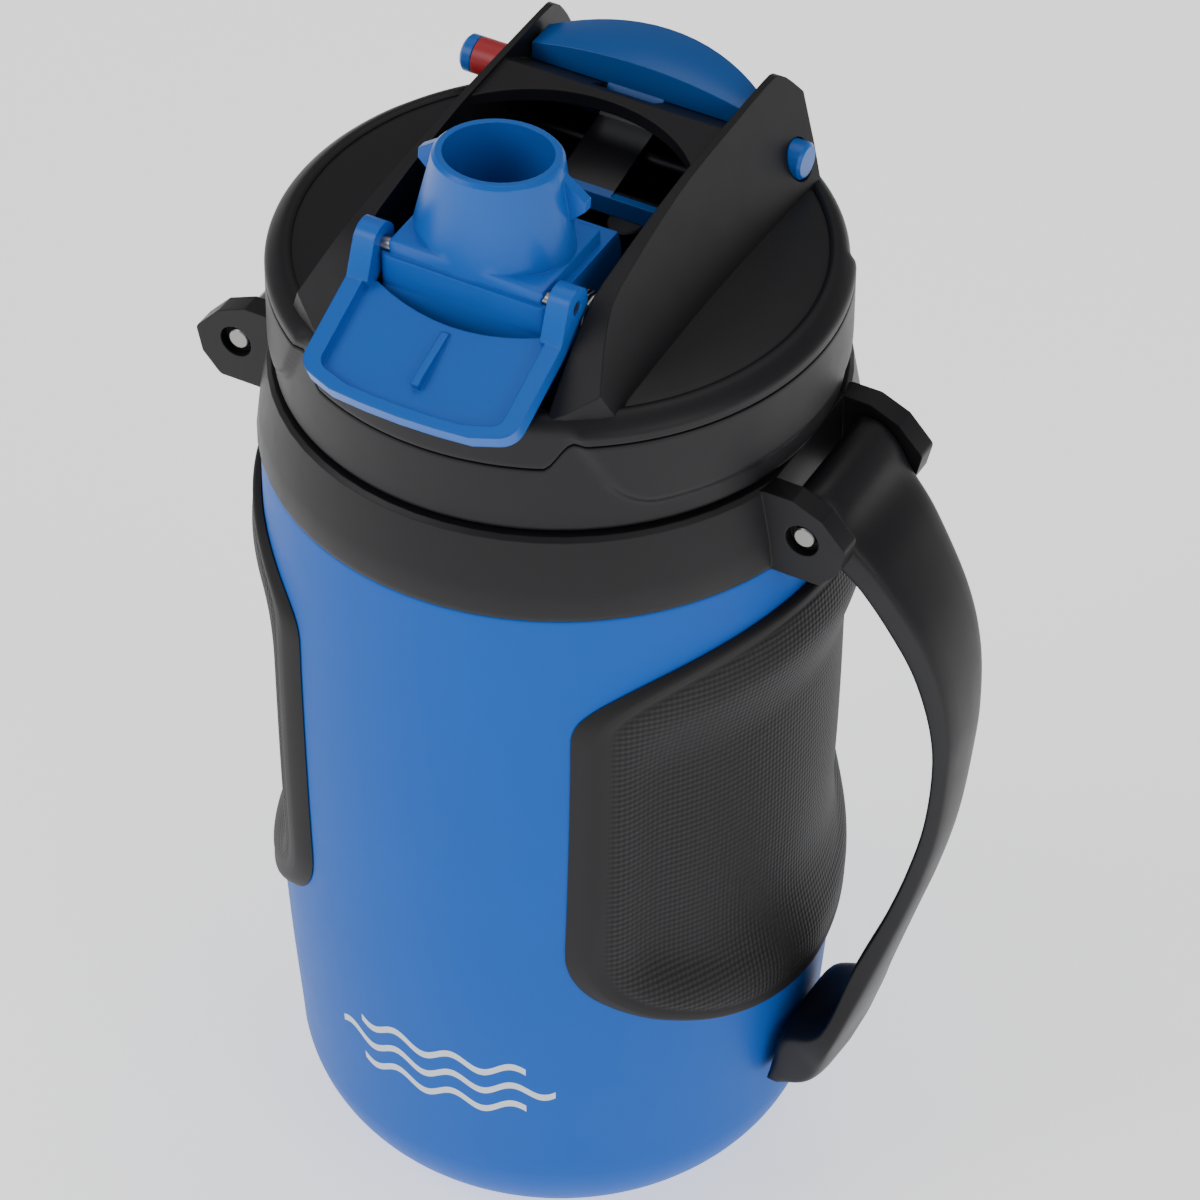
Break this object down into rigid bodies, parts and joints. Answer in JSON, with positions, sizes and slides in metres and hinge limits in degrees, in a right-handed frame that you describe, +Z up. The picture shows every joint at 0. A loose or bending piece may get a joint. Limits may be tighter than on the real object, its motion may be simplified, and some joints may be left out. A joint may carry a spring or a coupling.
{
  "type": "insulated water jug",
  "caption": "Large insulated water jug with a screwed lid, fold-away spout under a flip cover, push lever with a sliding lock, side grip pads and a hinged side handle.",
  "frame": {"origin": "centre of the base, on the jug's axis, where it stands", "axes": "+Z up along the jug's axis, -Y towards the spout and flip cover, +X towards the side handle"},
  "size_m": [0.1862, 0.1392, 0.2975],
  "materials": {
    "body_blue": "matte",
    "trim_blue": "satin",
    "lever_blue": "satin",
    "black_plastic": "satin",
    "grip_rubber": "matte",
    "liner_white": "satin",
    "foam": "matte",
    "silicone": "matte",
    "steel": "satin",
    "lock_red": "satin"
  },
  "bodies": {
    "jug": {"outer_shell": "body_blue", "foam_insulation": "foam", "inner_liner": "liner_white", "grip_pad_left": "grip_rubber", "grip_pad_right": "grip_rubber", "collar_ring": "black_plastic", "strap_pin": "steel", "handle_pin": "steel"},
    "handle": {"side_handle": "black_plastic"},
    "gasket": {"lid_gasket": "silicone"},
    "lid": {"lid_base": "black_plastic", "lid_cover": "black_plastic", "vent_valve": "silicone", "spout_seal": "silicone", "spout_pin_left": "steel", "spout_pin_right": "steel", "spout_spring": "steel", "lever_axle": "steel", "lever_spring_left": "steel", "lever_spring_right": "steel"},
    "spout": {"spout": "trim_blue", "cover_pin_left": "steel", "cover_pin_right": "steel"},
    "cover": {"spout_cover": "trim_blue"},
    "lever": {"release_lever": "lever_blue"},
    "lock": {"lock_bolt": "trim_blue", "lock_band": "lock_red"}
  },
  "joints": [
    {"name": "handle_swing", "type": "hinge", "parent": "jug", "child": "handle", "pos_m": [0.0715, 0, 0.2142], "axis": [0, -1, 0], "range_deg": [0, 110]},
    {"name": "lid_lift", "type": "slide", "parent": "jug", "child": "gasket", "axis": [0, 0, 1], "range_m": [0, 0.0285]},
    {"name": "lid_turn", "type": "hinge", "parent": "gasket", "child": "lid", "pos_m": [0, 0, 0.2251], "axis": [0, 0, 1], "range_deg": [0, 720]},
    {"name": "spout_fold", "type": "hinge", "parent": "lid", "child": "spout", "pos_m": [0, -0.0299, 0.2644], "axis": [-1, 0, 0], "range_deg": [0, 90], "stiffness_Nm_per_rad": 0.02, "springref_deg": -45.84},
    {"name": "cover_flip", "type": "hinge", "parent": "spout", "child": "cover", "pos_m": [0, -0.0399, 0.2734], "axis": [-1, 0, 0], "range_deg": [0, 115]},
    {"name": "lever_press", "type": "hinge", "parent": "lid", "child": "lever", "pos_m": [0, 0.026, 0.263], "axis": [1, 0, 0], "range_deg": [-9, 0], "stiffness_Nm_per_rad": 0.05, "springref_deg": 17.19, "deforming": ["lever_spring_left", "lever_spring_right"]},
    {"name": "lock_slide", "type": "slide", "parent": "lid", "child": "lock", "axis": [1, 0, 0], "range_m": [0, 0.009]}
  ],
  "couplings": [
    {"joint": "lid_lift", "follows": "lid_turn", "m_per_rad": 0.0022282}
  ]
}
